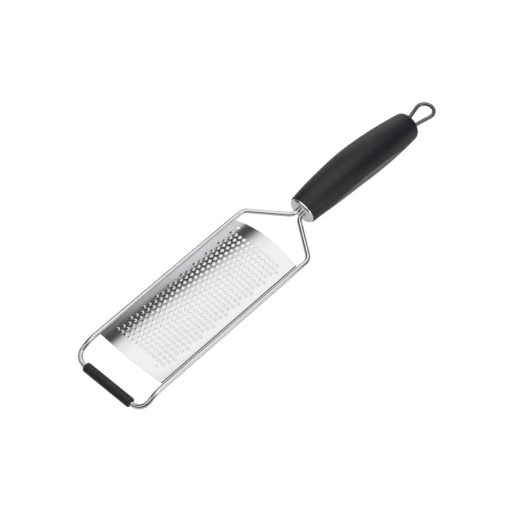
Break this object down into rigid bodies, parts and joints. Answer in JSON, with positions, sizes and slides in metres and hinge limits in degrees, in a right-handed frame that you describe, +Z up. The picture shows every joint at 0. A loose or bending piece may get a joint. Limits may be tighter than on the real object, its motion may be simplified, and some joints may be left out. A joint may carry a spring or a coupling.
{
  "type": "fine grater",
  "caption": "Hand-held fine grater: arched etched steel blade in a bent wire frame, sleeved foot bar, soft-touch round handle with side flats and a wire hanging loop.",
  "frame": {"origin": "middle of the bounding box's underside, on the surface that the foot sleeve and the handle rest on", "axes": "+X along the length from the foot bar toward the hanging loop, +Y to the left, +Z up through the cutting face"},
  "size_m": [0.3336, 0.0654, 0.0313],
  "materials": {
    "frame_steel": "polished stainless steel wire",
    "blade_steel": "satin stainless steel sheet",
    "sleeve_rubber": "matte black rubber",
    "ferrule_steel": "polished stainless steel",
    "core_plastic": "plain moulded plastic, hidden",
    "grip_rubber": "soft-touch matte black",
    "loop_steel": "dark drawn steel wire"
  },
  "bodies": {
    "root": {"frame_wire": "frame_steel", "blade": "blade_steel", "foot_sleeve": "sleeve_rubber", "ferrule": "ferrule_steel", "handle_core": "core_plastic", "handle_grip": "grip_rubber", "hanging_loop": "loop_steel"}
  },
  "joints": []
}
